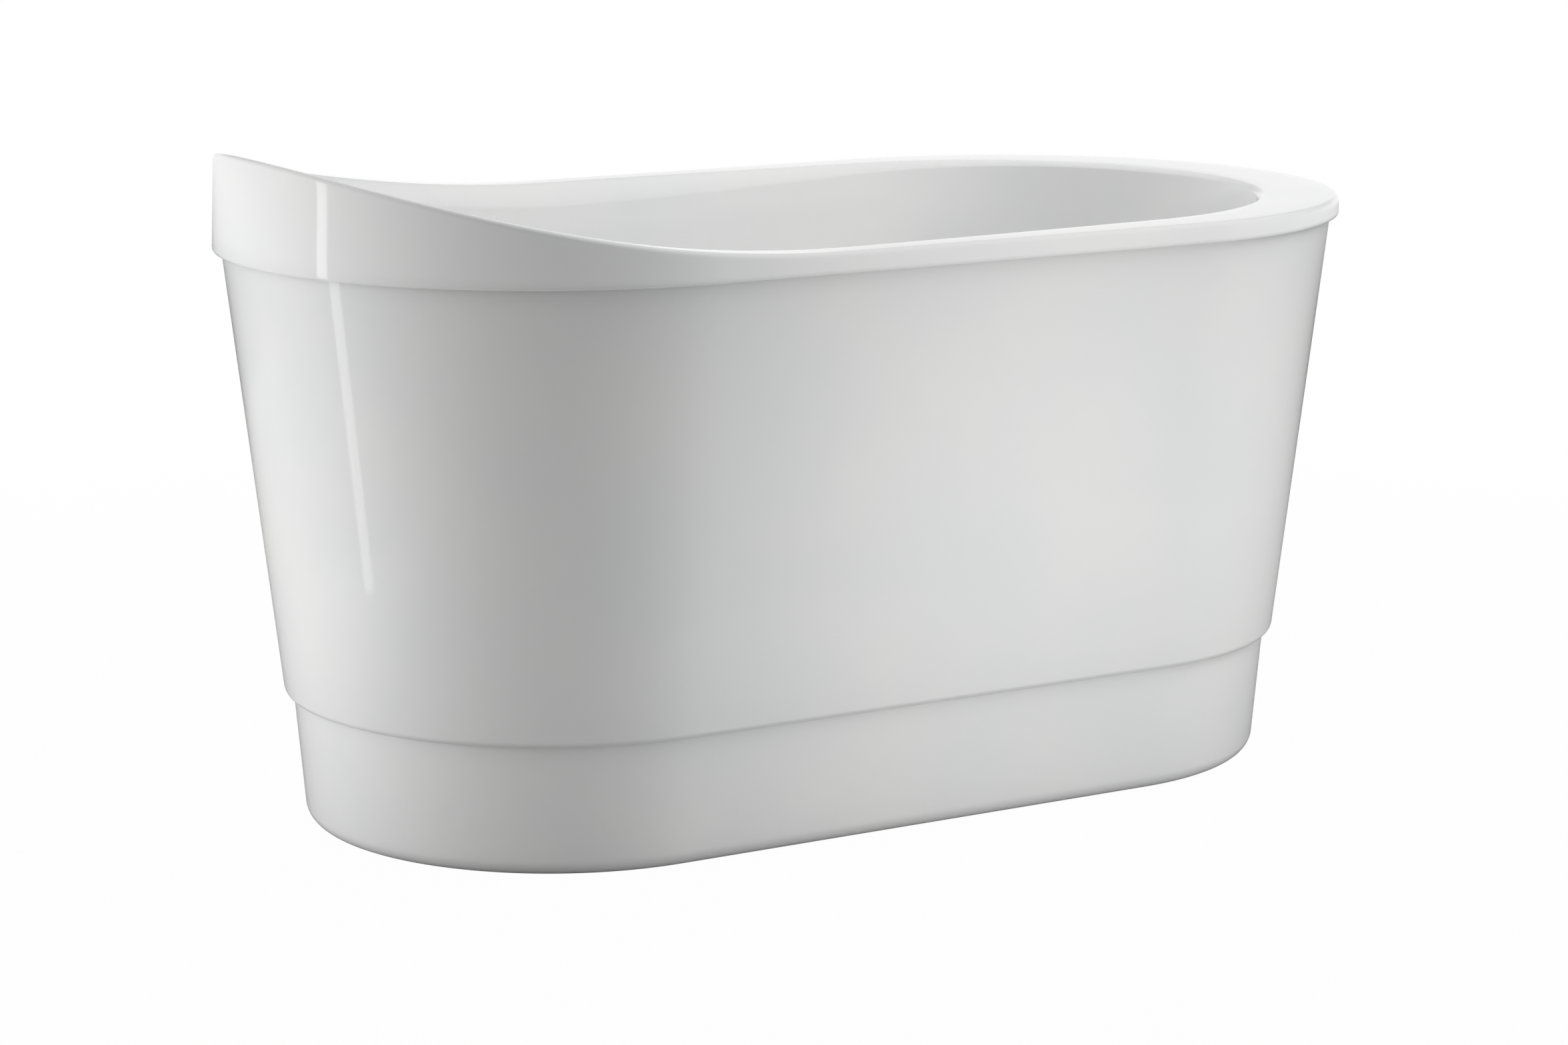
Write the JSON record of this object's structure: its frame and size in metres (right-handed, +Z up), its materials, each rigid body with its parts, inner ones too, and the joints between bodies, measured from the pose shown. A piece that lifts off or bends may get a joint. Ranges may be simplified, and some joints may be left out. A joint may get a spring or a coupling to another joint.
{
  "type": "japanese soaking tub",
  "caption": "Deep freestanding oval soaking tub with a raised back, a separate apron and plinth, levelling feet, and a plug-and-overflow waste.",
  "frame": {"origin": "on the floor, under the middle of the tub's length and width", "axes": "+X along the tub towards the foot end, +Y across it away from the overflow side, +Z up"},
  "size_m": [1.4996, 0.8256, 0.834],
  "materials": {
    "acrylic_shell": "white cast acrylic, thermoformed and polished",
    "acrylic_panel": "white acrylic panel, thermoformed, gloss",
    "plywood": "birch plywood, sanded",
    "steel": "zinc-plated pressed steel",
    "foot": "black moulded nylon pad on a zinc-plated stud",
    "chrome": "polished chrome-plated brass",
    "rubber": "moulded black rubber",
    "waste_plastic": "moulded white polypropylene"
  },
  "bodies": {
    "tub": {"tub_shell": "acrylic_shell", "rim_ring": "plywood", "apron": "acrylic_panel", "apron_screws": "steel", "plinth": "acrylic_panel", "base_board": "plywood", "leg_bar_head": "steel", "leg_bar_mid": "steel", "leg_bar_foot": "steel", "board_screws": "steel", "plinth_brackets": "steel", "bracket_screws": "steel", "foot_lock_nuts": "steel", "drain_flange": "chrome", "drain_seal": "rubber", "drain_gasket": "rubber", "waste_tee": "waste_plastic", "plug_cartridge": "waste_plastic", "plug_spring": "steel", "outlet_pipe": "waste_plastic", "low_pipe": "waste_plastic", "low_elbow": "waste_plastic", "riser_pipe": "waste_plastic", "slip_nuts": "waste_plastic", "slip_washers": "rubber", "overflow_elbow": "waste_plastic", "overflow_gasket": "rubber", "overflow_faceplate": "chrome", "overflow_cover": "chrome"},
    "plug": {"plug_cap": "chrome", "plug_seal": "rubber", "plug_stem": "chrome"},
    "foot_1": {"levelling_foot_1": "foot"},
    "foot_2": {"levelling_foot_2": "foot"},
    "foot_3": {"levelling_foot_3": "foot"},
    "foot_4": {"levelling_foot_4": "foot"},
    "foot_5": {"levelling_foot_5": "foot"},
    "foot_6": {"levelling_foot_6": "foot"}
  },
  "joints": [
    {"name": "plug_lift", "type": "slide", "parent": "tub", "child": "plug", "axis": [0, 0, 1], "range_m": [0, 0.009], "deforming": ["plug_spring"]},
    {"name": "foot_1_height", "type": "slide", "parent": "tub", "child": "foot_1", "axis": [0, 0, 1], "range_m": [-0.02, 0.01]},
    {"name": "foot_2_height", "type": "slide", "parent": "tub", "child": "foot_2", "axis": [0, 0, 1], "range_m": [-0.02, 0.01]},
    {"name": "foot_3_height", "type": "slide", "parent": "tub", "child": "foot_3", "axis": [0, 0, 1], "range_m": [-0.02, 0.01]},
    {"name": "foot_4_height", "type": "slide", "parent": "tub", "child": "foot_4", "axis": [0, 0, 1], "range_m": [-0.02, 0.01]},
    {"name": "foot_5_height", "type": "slide", "parent": "tub", "child": "foot_5", "axis": [0, 0, 1], "range_m": [-0.02, 0.01]},
    {"name": "foot_6_height", "type": "slide", "parent": "tub", "child": "foot_6", "axis": [0, 0, 1], "range_m": [-0.02, 0.01]}
  ]
}
